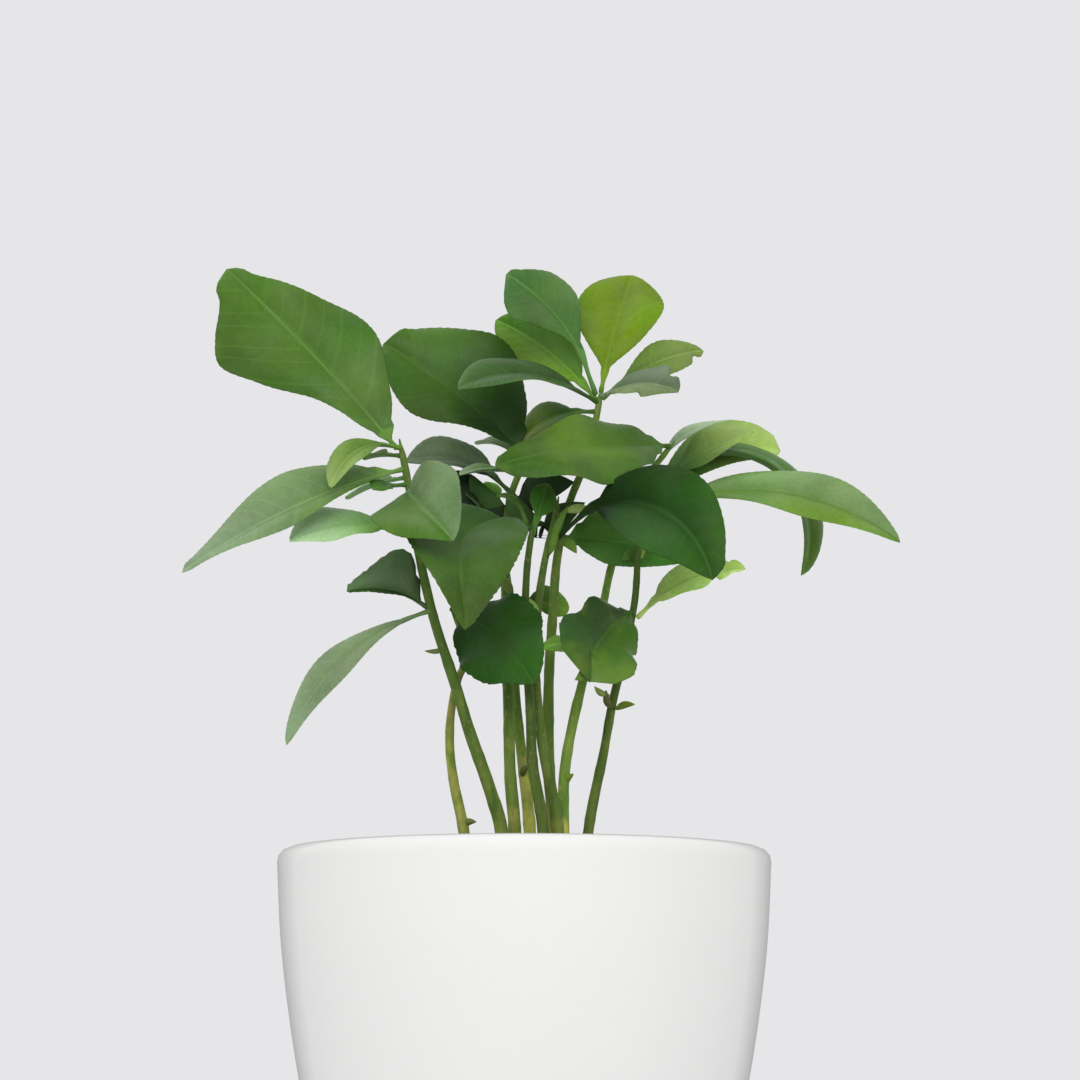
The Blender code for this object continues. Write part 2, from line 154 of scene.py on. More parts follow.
class PomeloStage(bpy.types.PropertyGroup):
    """The floor, the light and the camera."""

    backdrop: gamma("Backdrop", "Colour all round the plant", (0.902, 0.902, 0.910))
    room: bpy.props.FloatProperty(name="Room light", description="Light that comes evenly from "
                                  "all round", min=0, default=0.8)
    floor: length("Floor radius", "Radius of the floor", 1500)
    lens: bpy.props.FloatProperty(name="Lens", description="Focal length of the camera",
                                  unit="CAMERA", min=1, default=100)
    tilt: bpy.props.FloatProperty(name="Tilt", description="How far the camera looks up",
                                  subtype="ANGLE", default=math.radians(9.733))


# Node trees


def put(tree, kind, values=None, links=None, **settings):
    """Adds a node to a tree. values sets its sockets, and links says where a socket comes from."""
    made = tree.nodes.new(kind)
    for name, value in settings.items():
        setattr(made, name, value)
    for socket, value in (values or {}).items():
        made.inputs[socket].default_value = value
    for socket, source in (links or {}).items():
        tree.links.new(source, made.inputs[socket])
    return made


def ramp(tree, source, low, high, to_low=0.0, to_high=1.0):
    """A value carried from one range to another, and held at its ends."""
    made = put(tree, "ShaderNodeMapRange", links={"Value": source}, clamp=True)
    for socket, value in (("From Min", low), ("From Max", high), ("To Min", to_low), ("To Max", to_high)):
        made.inputs[socket].default_value = value
    return made.outputs["Result"]


def mixed(tree, share, first, second, blend="MIX"):
    """Two colours mixed. Each may be a socket or a colour, and share a socket or a number."""
    made = put(tree, "ShaderNodeMix", data_type="RGBA", blend_type=blend)
    for index, part in ((0, share), (6, first), (7, second)):
        if isinstance(part, bpy.types.NodeSocket):
            tree.links.new(part, made.inputs[index])
        elif index:
            made.inputs[index].default_value = (*part, 1)
        else:
            made.inputs[index].default_value = part
    return made.outputs[2]


def maths(tree, operation, first, second=None):
    """One sum of sockets or numbers."""
    made = put(tree, "ShaderNodeMath", operation=operation)
    for index, part in enumerate((first, second)):
        if isinstance(part, bpy.types.NodeSocket):
            tree.links.new(part, made.inputs[index])
        elif part is not None:
            made.inputs[index].default_value = part
    return made.outputs[0]


def speckle(tree, scale, detail=2.0, stretch=None):
    """Noise in the piece's own space."""
    place = put(tree, "ShaderNodeTexCoord").outputs["Object"]
    if stretch:
        mapping = put(tree, "ShaderNodeMapping", {"Scale": stretch}, {"Vector": place})
        place = mapping.outputs["Vector"]
    made = put(tree, "ShaderNodeTexNoise", {"Scale": scale, "Detail": detail}, {"Vector": place})
    return made.outputs["Fac"]


def attribute(tree, name, output="Fac"):
    return put(tree, "ShaderNodeAttribute", attribute_name=name).outputs[output]


def finish(name, colour, roughness, bump=None, bump_distance=0.1, **constants):
    """A material with these sockets or numbers on its shader."""
    made = bpy.data.materials.new(name)
    made.use_nodes = True
    tree = made.node_tree
    shader = tree.nodes["Principled BSDF"]
    colour_socket, roughness_socket = colour(tree), roughness(tree)
    tree.links.new(colour_socket, shader.inputs["Base Color"])
    tree.links.new(roughness_socket, shader.inputs["Roughness"])
    if bump:
        relief = put(tree, "ShaderNodeBump", {"Distance": bump_distance * MM, "Strength": 1.0},
                     {"Height": bump(tree)})
        tree.links.new(relief.outputs["Normal"], shader.inputs["Normal"])
    for socket, value in constants.items():
        shader.inputs[socket.replace("_", " ")].default_value = value
    return made


# Geometry Nodes


def node_tree(name, sockets):
    """A Geometry Nodes tree with these inputs, its input node and its output node."""
    tree = bpy.data.node_groups.new(name, "GeometryNodeTree")
    tree.interface.new_socket("Geometry", in_out="INPUT", socket_type="NodeSocketGeometry")
    for label, (kind, value) in sockets.items():
        made = tree.interface.new_socket(label, in_out="INPUT", socket_type="NodeSocket" + kind)
        if value is not None:
            made.default_value = value
    tree.interface.new_socket("Geometry", in_out="OUTPUT", socket_type="NodeSocketGeometry")
    return tree, tree.nodes.new("NodeGroupInput"), tree.nodes.new("NodeGroupOutput")


def grown(name, source, tree, inputs):
    """A new plain mesh object: what a node tree makes of a source mesh."""
    obj = bpy.data.objects.new(name, source)
    bpy.context.scene.collection.objects.link(obj)
    modifier = obj.modifiers.new(name, "NODES")
    modifier.node_group = tree
    for item in tree.interface.items_tree:
        if item.in_out == "INPUT" and item.name in inputs:
            modifier[item.identifier] = inputs[item.name]
    graph = bpy.context.evaluated_depsgraph_get()
    mesh = bpy.data.meshes.new_from_object(obj.evaluated_get(graph), depsgraph=graph)
    obj.modifiers.clear()
    obj.data = mesh
    mesh.name = name
    return obj


def settled(obj, slot, *nodes):
    """Hands a finished piece to the frame."""
    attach(obj, BODY)
    if nodes:
        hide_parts(*nodes)
    return obj


def mesh_object(name, points, faces, material, smooth=True):
    mesh = bpy.data.meshes.new(name)
    mesh.from_pydata([tuple(p) for p in points], [], faces)
    mesh.materials.append(material)
    if smooth:
        mesh.shade_smooth()
    obj = bpy.data.objects.new(name, mesh)
    bpy.context.scene.collection.objects.link(obj)
    return obj


def closed_skin(rings, sides):
    """Faces that join rings of points in order. The heel and the tip are the two points after them."""
    faces = []
    heel, tip = rings * sides, rings * sides + 1
    for i in range(sides):
        j = (i + 1) % sides
        for k in range(rings - 1):
            low, high = k * sides, (k + 1) * sides
            faces.append((low + i, low + j, high + j, high + i))
        faces.append((heel, j, i))
        faces.append((tip, heel - sides + i, heel - sides + j))
    return faces


def turned_out(mesh):
    """Turns a closed mesh's faces round if they face inward."""
    solid = bmesh.new()
    solid.from_mesh(mesh)
    if solid.calc_volume(signed=True) < 0:
        bmesh.ops.reverse_faces(solid, faces=solid.faces)
    solid.to_mesh(mesh)
    solid.free()


# Reading the frame


def welded(node):
    """The points of a CAD node with its loose triangles joined, and each point's neighbours."""
    shape = bmesh.new()
    shape.from_mesh(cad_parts[node].data)
    bmesh.ops.remove_doubles(shape, verts=shape.verts, dist=WELD)
    shape.verts.index_update()
    points = np.array([v.co for v in shape.verts]) / MM
    near = [{e.other_vert(v).index for e in v.link_edges} for v in shape.verts]
    shape.free()
    return points, near


def levels(near, start):
    """Points by their number of steps from the starting ones."""
    seen = set(start)
    found = [sorted(start)]
    while found[-1]:
        step = sorted({b for a in found[-1] for b in near[a]} - seen)
        seen.update(step)
        found.append(step)
    return found[:-1]


def stem_rings(stem):
    """(middles, radii) of a packed stem's rings, from its buried end up."""
    points, near = welded(f"stem_{stem}")
    lowest = np.argsort(points[:, 2])[:RING]
    rings = [points[ring] for ring in levels(near, lowest.tolist())]
    middles = np.array([ring.mean(0) for ring in rings])
    radii = np.array([np.linalg.norm(ring - ring.mean(0), axis=1).mean() for ring in rings])
    return middles, radii


def unit(vectors):
    return vectors / np.maximum(np.linalg.norm(vectors, axis=-1, keepdims=True), 1e-12)


class Blade(NamedTuple):
    """A packed leaf: its stalk's middles, then its rib, halves and upward direction."""

    stalk: np.ndarray
    rib: np.ndarray
    left: np.ndarray
    right: np.ndarray
    up: np.ndarray


def leaf_levels(points, near):
    """The rings of a packed leaf, from its foot to its tip."""
    for pole in (i for i, others in enumerate(near) if len(others) == RING):
        found = levels(near, [pole])
        sizes = [len(level) for level in found]
        if sizes != [1, *[RING] * (len(found) - 2), 1]:
            continue
        first = np.linalg.norm(points[found[1]].mean(0) - points[found[0][0]])
        last = np.linalg.norm(points[found[-2]].mean(0) - points[found[-1][0]])
        return found if first < last else found[::-1]
    raise RuntimeError("a packed leaf has no poles")


def read_leaf(node):
    """A packed leaf as a blade. Its stalk takes the first three rings."""
    points, near = welded(node)
    rings = leaf_levels(points, near)
    middles = np.array([points[ring].mean(0) for ring in rings])
    rib, left, right, ups = [], [], [], []
    for k, ring in enumerate(rings[3:-1], 3):
        order = [ring[0]]
        while len(order) < RING:
            order += [i for i in ring if i in near[order[-1]] and i not in order][:1]
        loop = points[order]
        reach = np.linalg.norm(loop[:, None] - loop[None], axis=2)
        a = int(np.argmax(reach.max(1)))
        b = (a + RING // 2) % RING
        along = unit(middles[k + 1] - middles[k - 1])
        chord = unit(loop[b] - loop[a])
        sides = [loop[(a + RING // 4) % RING], loop[(b + RING // 4) % RING]]
        off = [np.linalg.norm((p - loop[a]) - chord * np.dot(p - loop[a], chord)) for p in sides]
        keel, top = (sides[0], sides[1]) if off[0] > off[1] else (sides[1], sides[0])
        up = top - keel
        up = unit(up - along * np.dot(up, along))
        middle = top - up * PACKED_HALF_BLADE
        halves = [loop[a] - middle, loop[b] - middle]
        across = np.cross(along, up)
        if np.dot(halves[0], across) > np.dot(halves[1], across):
            halves.reverse()
        rib.append(middle)
        left.append(halves[0])
        right.append(halves[1])
        ups.append(up)
    rib.append(points[rings[-1][0]])
    left.append(np.zeros(3))
    right.append(np.zeros(3))
    ups.append(ups[-1])
    return Blade(middles[:3], *(np.array(part) for part in (rib, left, right, ups)))


def through(knots, values, wanted):
    """A smooth curve through the values at the knots, read at the wanted places."""
    knots = np.asarray(knots, float)
    values = np.asarray(values, float)
    slope = np.diff(values, axis=0) / np.diff(knots)[:, None]
    gaps = np.diff(knots)[:, None]
    inner = (slope[:-1] * gaps[1:] + slope[1:] * gaps[:-1]) / (gaps[:-1] + gaps[1:])
    tangent = np.vstack([slope[:1], inner, slope[-1:]])
    at = np.clip(np.searchsorted(knots, wanted, side="right") - 1, 0, len(knots) - 2)
    gap = gaps[at]
    t = ((np.asarray(wanted) - knots[at])[:, None]) / gap
    a, b = values[at], values[at + 1]
    ta, tb = tangent[at] * gap, tangent[at + 1] * gap
    return ((2 * t ** 3 - 3 * t ** 2 + 1) * a + (t ** 3 - 2 * t ** 2 + t) * ta
            + (3 * t ** 2 - 2 * t ** 3) * b + (t ** 3 - t ** 2) * tb)


def run_of(points):
    """How far along a line each of its points lies."""
    return np.r_[0, np.cumsum(np.linalg.norm(np.diff(points, axis=0), axis=1))]


# Leaves


class Look(NamedTuple):
    """How one leaf differs from plain: its greens near the stalk and near the tip.

    left, right: a green that tints that half, by the share given. edge: a green at the margins.
    wave: how far the margins rise and fall, in mm. waves: how many times they do.
    teeth: depth of the fine scalloping. camber: how far each half bulges up.
    finish: which of the leaf finishes it wears. vein: how much lighter the veins are.
    point: above 1 draws the tip out to a finer point. under: the green of its underside.
    light: above 1 is lighter than its greens; it is painted light and painted shade, a leaf made lighter or
    darker for the light that falls on it, besides its own tone. bites: dents in its outline, each (half,
    share of the blade's length, breadth, depth), where the half is 1 on the right and -1 on the left.
    patch: how strongly it is mottled yellow.
    twist: how far the blade turns about its midrib toward its tip, in degrees.
    """

    foot: str
    tip: str
    left: str = ""
    left_share: float = 0.0
    right: str = ""
    right_share: float = 0.0
    edge: str = ""
    wave: float = 0.8
    waves: float = 1.5
    teeth: float = 0.2
    camber: float = 1.1
    finish: str = "satin"
    vein: float = 0.35
    point: float = 1.0
    under: str = "bloom"
    light: float = 1.0
    bites: tuple = ()
    patch: float = 0.0
    twist: float = 0.0


# Where a half or a tip takes the grey sheen green, that colour is painted sheen on the side facing the sky.
LOOKS = {
    "left_crown": Look("leaf", "leaf", wave=1.6, waves=2.0, vein=0.5, point=1.3, light=0.92),
    "left_strap": Look("fresh", "straw", vein=0.3, light=0.85),
    "left_bud": Look("leaf", "fresh", light=0.75),
    "left_long": Look("fresh", "bloom", right="bloom", right_share=0.3, vein=0.4, light=0.93),
    "left_small": Look("dark", "leaf", light=1.4),
    "left_front": Look("leaf", "leaf", left="bloom", left_share=0.5, wave=1.6, light=0.9),
    "left_back": Look("dark", "leaf", light=2.4),
    "left_grey": Look("leaf", "bloom", right="bloom", right_share=0.5, light=2.2),
    "left_arched": Look("dark", "dark", right="bloom", right_share=0.4, teeth=0.45, wave=1.0, light=0.85),
    "left_hanging": Look("fresh", "bloom", right="bloom", right_share=0.8, left="bloom",
                         left_share=0.7, vein=0.25, light=0.96),
    "far_left_low": Look("deep", "dark", finish="dull", vein=0.25, teeth=0.45, wave=1.8,
                         waves=2.5, light=1.05),
    "mid_left_crown": Look("deep", "leaf", vein=0.2, teeth=0.3, wave=1.6, light=0.98),
    "mid_left_curled": Look("deep", "bloom", right="bloom", right_share=0.3, light=0.6),
    "mid_left_thin": Look("leaf", "bloom"),
    "mid_left_sliver": Look("leaf", "bloom", light=0.9),
    "mid_upright": Look("dark", "leaf", vein=0.6, light=3.5),
    "mid_small": Look("leaf", "leaf", light=0.3),
    "mid_shaded": Look("night", "night", finish="dull", vein=0.15),
    "mid_round": Look("deep", "fresh", finish="dull", light=1.4),
    "mid_front_upright": Look("dark", "deep", finish="dull", light=1.55),
    "mid_front_hook": Look("leaf", "fresh", light=0.6),
    "mid_front_heart": Look("dark", "leaf", vein=0.15, teeth=0.45, wave=1.2, light=0.85),
    "centre_broad": Look("night", "dark", finish="dull", vein=0.2, wave=1.2, light=1.25),
    "tall_crown": Look("blue", "blue", vein=0.5, light=0.95),
    "tall_backlit": Look("lime", "lime", finish="thin", vein=0.25, light=0.78),
    "tall_bright": Look("leaf", "leaf", left="lime", left_share=0.3, light=1.4),
    "tall_narrow": Look("dark", "blue", edge="blue", vein=0.45, light=0.72),
    "tall_twisted": Look("bloom", "bloom", right="straw", right_share=0.3,
                         bites=((1, 0.55, 0.08, 0.35), (-1, 0.75, 0.06, 0.4)), light=0.6),
    "tall_light": Look("fresh", "straw", finish="thin", bites=((1, 0.86, 0.04, 0.65),), light=0.75),
    "tall_brown": Look("dark", "olive", light=1.1),
    "tall_dark": Look("deep", "dark", finish="dull", light=3),
    "right_wide": Look("leaf", "leaf", wave=1.6, waves=2.2, vein=0.12, patch=0.3, light=0.92),
    "right_thin": Look("bloom", "silver", light=1.3),
    "right_stub": Look("leaf", "fresh", light=2.6),
    "far_right_upper": Look("dark", "straw", light=0.85),
    "far_right_pale": Look("dark", "straw", finish="thin", light=1.2),
    "far_right_arched": Look("dark", "leaf", under="leaf", twist=25),
    "far_right_long": Look("fresh", "fresh", left="bloom", left_share=0.45, vein=-0.3, light=1.15),
    "far_right_notched": Look("deep", "dark", left="leaf", left_share=0.9, wave=1.4, patch=0.45,
                              bites=((1, 0.55, 0.1, 0.2), (-1, 0.6, 0.12, 0.2)), light=1.05),
    "far_right_torn": Look("straw", "straw", left="straw", left_share=0.4, vein=-0.3,
                           bites=((1, 0.7, 0.05, 0.6), (-1, 0.8, 0.05, 0.5), (1, 0.9, 0.04, 0.5)),
                           light=2.15),
}

PATCH = (0.45, 0.57, 0.20)  # yellow-green of the mottling
UNDER_SHARE = 0.45  # how far an underside takes on its own green
SECTION = 20  # steps across each face of a blade
STATION = 0.8  # distance between a leaf's rings
FEWEST_RINGS = 22
RING_CROWDING = 0.06  # how much nearer rings lie at a blade's ends
MARGIN_CROWDING = 1.25  # above 1 draws points toward the midrib
TWIST_START, TWIST_LENGTH = 0.4, 0.4  # shares of the blade in which it turns
POINT_START = 0.78  # share of the blade from which a fine tip narrows
FOOT_FADE, TIP_FADE = 0.08, 0.04  # shares over which relief grows in and dies out
TOOTH = 1.9  # length of one tooth of the margin
FULL_WIDTH = 10.0  # half-width from which a blade waves and bulges fully
THIN_EDGE = 0.35  # thickness of the margin as a share of that at the midrib
GROOVE_WIDTH = 0.55
VEIN_PAIRS = 9
VEIN_WIDTH = 0.3
VEIN_SLANT, VEIN_BEND = 0.5, 0.35  # how a side vein leans, and bends toward the tip
VEIN_STAGGER, VEIN_WANDER = 0.45, 0.15  # as shares of the distance between veins
VEIN_FURROW, VEIN_RIDGE = 0.07, 0.08  # depth on the face, height on the underside
STALK_RINGS = 7
SWELL, SWELL_PLACE, SWELL_BREADTH = 0.35, 0.12, 0.18  # the stalk's joint, as shares of the stalk
WING_START = 1.6  # above 1 leaves the stalk's foot without wings
SINK = 1.5  # how far a stalk's foot runs into the bark
HEEL = 0.3  # how far the stalk's end bulges
LEAF_SIDES = 2 * SECTION

# A leaf's cross-section: side runs from -1 at the left margin to 1 at the right, face is 1 on the
# upper face and -1 on the underside, and rounding falls to 0 at the margins.
around = np.linspace(0, 2 * math.pi, LEAF_SIDES, endpoint=False)
cosine, sine = np.cos(around), np.sin(around)
side = np.sign(cosine) * abs(cosine) ** MARGIN_CROWDING
face = np.where(sine >= -1e-9, 1.0, -1.0)
rounding = np.sqrt(np.clip(1 - side ** 2, 0, 1))


def smooth(value):
    """0 up to 0 and 1 from 1 on, with a soft rise between."""
    value = np.clip(value, 0, 1)
    return value * value * (3 - 2 * value)


def leaf_tints(look, greens, share, across, under):
    """Each point's colour, from the leaf's greens, which carry painted light, painted shade and painted sheen
    as well as the leaf's own tone. across runs from margin to margin.
    """
    tint = greens[look.foot] + (greens[look.tip] - greens[look.foot]) * smooth(share)[:, None]
    # Painted light and painted shade: each leaf's colour made lighter or darker for the light that falls on
    # it.
    tint = tint * look.light
    for name, amount, half in ((look.left, look.left_share, -across), (look.right, look.right_share, across)):
        if name:
            weight = amount * smooth(half * 2.5 + 0.4)[:, None]
            tint = tint + (greens[name] - tint) * weight
    if look.edge:
        margin = smooth((abs(across) - 0.8) * 5) * 0.6
        tint = tint + (greens[look.edge] - tint) * margin[:, None]
    below = tint + (greens[look.under] - tint) * UNDER_SHARE
    return tint + (below - tint) * under[:, None]


def vein_tints(look, greens, tint):
    """The same for the veins, which are lighter and yellower."""
    yellow = greens["lime"] * 0.22 * max(look.vein, 0)
    return tint * (1 + look.vein * 1.1) + yellow


class Course(NamedTuple):
    """A blade from its stalk to its tip, with one row for each of its rings."""

    share: np.ndarray
    at: np.ndarray
    rib: np.ndarray
    left: np.ndarray
    right: np.ndarray
    up: np.ndarray


def course_of(packed, look):
    """Where a leaf's rings lie, once its blade has been twisted."""
    knots = run_of(packed.rib)
    turn = np.linspace(0, 1, max(FEWEST_RINGS, round(knots[-1] / STATION)) + 1)[1:]
    share = turn + RING_CROWDING * np.sin(2 * math.pi * turn) / (2 * math.pi)
    at = share * knots[-1]
    rib, left, right = (through(knots, part, at) for part in (packed.rib, packed.left, packed.right))
    up = unit(through(knots, packed.up, at))
    if look.twist:
        along = unit(np.gradient(rib, axis=0))
        twist = math.radians(look.twist) * smooth((share - TWIST_START) / TWIST_LENGTH)[:, None]
        left, right, up = (part * np.cos(twist) + np.cross(along, part) * np.sin(twist)
                           for part in (left, right, up))
    return Course(share, at, rib, left, right, up)


class Ring(NamedTuple):
    """The points of one ring of a leaf, and what its finish reads from each of them."""

    points: np.ndarray
    share: np.ndarray
    side: np.ndarray
    under: np.ndarray
    rib: np.ndarray
    vein: np.ndarray


def stalk_rings(packed, course, first, radius):
    """The rings of a stalk, opened out into wings toward the blade's first ring, and its heel."""
    foot = packed.stalk[0] - unit(packed.stalk[2] - packed.stalk[0]) * SINK
    line = np.vstack([foot, packed.stalk[0], packed.stalk[2], packed.rib[0]])
    run = run_of(line)
    middles = through(run, line, np.linspace(0, run[-1], STALK_RINGS + 1)[:-1])
    along = unit(np.gradient(np.vstack([middles, packed.rib[0]]), axis=0))[:-1]
    zero, between_veins = np.zeros(LEAF_SIDES), np.full(LEAF_SIDES, 0.5)
    rings = []
    for k in range(STALK_RINGS):
        up = unit(course.up[0] - along[k] * np.dot(course.up[0], along[k]))
        across = np.cross(up, along[k])
        if np.dot(across, course.right[0] - course.left[0]) < 0:
            across = -across
        place = k / STALK_RINGS
        swell = radius * (1 + SWELL * math.exp(-((place - SWELL_PLACE) / SWELL_BREADTH) ** 2))
        plain = middles[k] + swell * (across * cosine[:, None] + up * sine[:, None])
        opened = middles[k] + first.points - course.rib[0]
        wing = smooth(place * WING_START - WING_START + 1)
        rings.append(Ring(plain + (opened - plain) * wing, zero, zero, zero, zero, between_veins))
    return rings, middles[0] - along[0] * HEEL


def bitten_halves(look, course, k):
    """How far each point of a ring lies from the midrib, with the bites taken out."""
    halves = np.where(side[:, None] > 0, course.right[k] * side[:, None], -course.left[k] * side[:, None])
    for which, place, breadth, depth in look.bites:
        dent = depth * math.exp(-((course.share[k] - place) / breadth) ** 2)
        halves = halves * np.where(side * which > 0, 1 - dent, 1)[:, None]
    return halves


def relief(sizes, share, distance, vein, quilt):
    """How far the two faces stand off the middle of the blade."""
    thick = sizes.thickness / MM / 2 * (THIN_EDGE + (1 - THIN_EDGE) * rounding)
    body = thick * face * np.where(rounding > 0, rounding ** 0.35, 0)
    groove = -sizes.groove / MM * np.exp(-(distance / GROOVE_WIDTH) ** 2) * (1 - share) ** 0.3
    top = groove - VEIN_FURROW * vein + quilt
    rib_radius = sizes.petiole / MM * (1 - share) ** 0.7
    ridge = np.sqrt(np.clip(rib_radius ** 2 - distance ** 2, 0, None))
    bottom = -ridge - VEIN_RIDGE * vein + quilt * 0.6
    return body + np.where(face > 0, top, bottom) * np.minimum(1, rounding * 2)


def blade_ring(look, course, k, sizes, seed):
    """One ring of a blade: its bulge, its wavy and toothed margins and its side veins."""
    share, at = course.share[k], course.at[k]
    right, left = np.linalg.norm(course.right[k]), np.linalg.norm(course.left[k])
    widths = np.where(side > 0, right, left)
    distance = abs(side) * widths
    fade = smooth(share / FOOT_FADE) * smooth((1 - share) / TIP_FADE)

    spacing = course.at[-1] / VEIN_PAIRS
    row = (at - VEIN_SLANT * distance - VEIN_BEND * distance ** 2 / np.maximum(widths, 1)) / spacing
    phase = row + np.where(side > 0, 0.0, VEIN_STAGGER) + VEIN_WANDER * np.sin(seed + 3 * row)
    gap = abs((phase + 0.5) % 1 - 0.5) * spacing
    strength = fade * np.clip(1.1 - abs(side), 0, 1) * smooth((distance - 0.3) / 1.2)
    vein = np.exp(-(gap / VEIN_WIDTH) ** 2) * strength
    quilt = sizes.quilting / MM * (1 - np.cos(2 * math.pi * phase)) / 2 * strength

    bulge = look.camber * abs(side) * (1 - abs(side)) * 4
    turns = 2 * math.pi * (look.waves * share + np.where(side > 0, 0.13, 0.55) + 0.1 * seed)
    wave = look.wave * side ** 2 * np.sin(turns)
    lift = (bulge + wave) * fade * np.minimum(1, widths / FULL_WIDTH)
    lift = lift + relief(sizes, share, distance, vein, quilt)

    halves = bitten_halves(look, course, k)
    tooth = look.teeth * abs(math.sin(math.pi * at / TOOTH + seed)) * fade
    outward = unit(halves) * (tooth * abs(side) ** 6)[:, None]
    narrowing = smooth((share - POINT_START) / (1 - POINT_START)) * (1 - share) * 2
    taper = 1 - (look.point - 1) * narrowing
    points = course.rib[k] + halves * taper + outward + course.up[k] * lift[:, None]
    under = np.where(face > 0, 0.0, 1.0)
    return Ring(points, np.full(LEAF_SIDES, share), side, under, distance * np.sign(side), phase)


def make_leaf(key, look, sizes, greens, materials):
    """A thin closed blade with a grooved midrib, side veins and a stalk run into the bark."""
    packed = read_leaf(f"leaf_{key}")
    course = course_of(packed, look)
    seed = sum(ord(letter) for letter in key)
    blade = [blade_ring(look, course, k, sizes, seed) for k in range(len(course.share))]
    stalk, heel = stalk_rings(packed, course, blade[0], sizes.petiole / MM)
    rings, last = [*stalk, *blade[:-1]], blade[-1]
    points = np.vstack([*(ring.points for ring in rings), heel, last.points.mean(0)])
    obj = mesh_object(f"leaf_{key}_blade", points * MM, closed_skin(len(rings), LEAF_SIDES),
                      materials[look.finish])
    turned_out(obj.data)

    def on_points(name):
        """A value of the rings on every point. It is 0 at the heel, and the last ring's at the tip."""
        return np.concatenate([*(getattr(ring, name) for ring in rings), [0.0],
                               [getattr(last, name).mean()]])

    tint = leaf_tints(look, greens, on_points("share"), on_points("side"), on_points("under"))
    add_values(obj.data, "tint", np.clip(tint, 0, 1))
    add_values(obj.data, "vein_tint", np.clip(vein_tints(look, greens, tint), 0, 1))
    for name in ("under", "rib", "vein"):
        add_values(obj.data, name, on_points(name))
    add_values(obj.data, "patch", np.full(len(points), look.patch))
    return settled(obj, "leaf_blade", f"leaf_{key}")


def add_values(mesh, name, values):
    """Stores a number or a colour on each point of a mesh."""
    if values.ndim == 2:
        made = mesh.attributes.new(name, "FLOAT_COLOR", "POINT")
        made.data.foreach_set("color", np.c_[values, np.ones(len(values))].ravel().astype("f"))
    else:
        made = mesh.attributes.new(name, "FLOAT", "POINT")
        made.data.foreach_set("value", values.astype("f"))


def leaf_material(name, roughness, gloss):
    """Leaf skin: blotches, fine cells, and lighter veins that follow the blade."""

    def vein_mask(tree):
        line = maths(tree, "PINGPONG", attribute(tree, "vein"), 0.5)
        return maths(tree, "MULTIPLY", ramp(tree, line, 0.0, 0.09, 1.0, 0.0), 0.22)

    def rib_mask(tree):
        line = ramp(tree, maths(tree, "ABSOLUTE", attribute(tree, "rib")), 0.12, 0.5, 1.0, 0.0)
        return maths(tree, "MULTIPLY", line, ramp(tree, speckle(tree, 60, 2), 0.35, 0.65, 0.25, 0.85))

    def colour(tree):
        blotches = ramp(tree, speckle(tree, 40, 4), 0.32, 0.68, 0.7, 1.28)
        cells = ramp(tree, speckle(tree, 900, 2), 0.3, 0.7, 0.93, 1.07)
        value = maths(tree, "MULTIPLY", blotches, cells)
        tint = put(tree, "ShaderNodeHueSaturation", links={
            "Color": attribute(tree, "tint", "Color"), "Value": value,
            "Hue": ramp(tree, speckle(tree, 30, 3), 0.35, 0.65, 0.487, 0.512),
            "Saturation": ramp(tree, speckle(tree, 90, 3), 0.3, 0.7, 0.95, 1.12)}).outputs["Color"]
        mottle = ramp(tree, speckle(tree, 75, 3), 0.48, 0.68)
        yellow = maths(tree, "MULTIPLY", mottle, attribute(tree, "patch"))
        tint = mixed(tree, yellow, tint, linear(PATCH))
        masks = maths(tree, "MAXIMUM", vein_mask(tree), rib_mask(tree))
        return mixed(tree, masks, tint, attribute(tree, "vein_tint", "Color"))

    def rough(tree):
        wax = ramp(tree, speckle(tree, 140, 2), 0.3, 0.7, roughness - 0.06, roughness + 0.08)
        return maths(tree, "ADD", wax, maths(tree, "MULTIPLY", attribute(tree, "under"), 0.15))

    def bump(tree):
        cells = speckle(tree, 1500, 2)
        return maths(tree, "SUBTRACT", maths(tree, "MULTIPLY", cells, 0.5), vein_mask(tree))

    return finish(name, colour, rough, bump, 0.08, Specular_IOR_Level=gloss)


class PomeloMakeLeaves(bpy.types.Operator):
    """Makes every leaf from its packed blade"""

    bl_idname = "pomelo.make_leaves"
    bl_label = "Make leaves"

    def execute(self, context):
        sizes = context.scene.pomelo_leaves
        names = [key for key, kind in PomeloLeaves.__annotations__.items()
                 if kind.keywords.get("subtype") == "COLOR_GAMMA"]
        greens = {key: linear(getattr(sizes, key)) for key in names}
        materials = {
            "satin": leaf_material("leaf_satin", 0.4, 0.14),
            "dull": leaf_material("leaf_dull", 0.5, 0.06),
            "thin": leaf_material("leaf_thin", 0.5, 0.14),
        }
        for key, look in LOOKS.items():
            make_leaf(key, look, sizes, greens, materials)
        return {"FINISHED"}


# Stems

STEMS = ["left", "far_left", "mid_left", "mid", "mid_front", "centre", "right", "tall", "far_right"]
STEM_STATION = 1.2
SLENDERNESS = 0.2  # how much thinner a stem is at its tip than its packed one
TIP = 5.0  # length over which a stem narrows to its growing tip
JOINT_START, JOINT_BREADTH = 3.0, 1.1
SWAY_SEED = 3  # without one, the sways differ from run to run
SWAY_START, SWAY_LENGTH = 25.0, 20.0  # heights along a stem at which its small sways set in
CROWN_START, CROWN_LENGTH = 40.0, 30.0  # heights above the soil at which the crown shades the bark
# For each stem: how woody its foot is, how high the wood reaches above the soil, in mm, how thick
# it is beside its packed stem, and how light its bark is.
BARKS = {
    "left": (0.15, 20, 1.0, 0.9), "far_left": (0.5, 60, 0.88, 1.08),
    "mid_left": (0.3, 35, 0.95, 1.05), "mid": (0.95, 34, 0.95, 1.3),
    "mid_front": (0.15, 25, 0.9, 0.66), "centre": (0.25, 20, 0.9, 0.82),
    "right": (0.55, 26, 0.86, 1.4), "tall": (0.3, 25, 0.95, 1.05),
    "far_right": (0.05, 10, 0.8, 0.72),
}


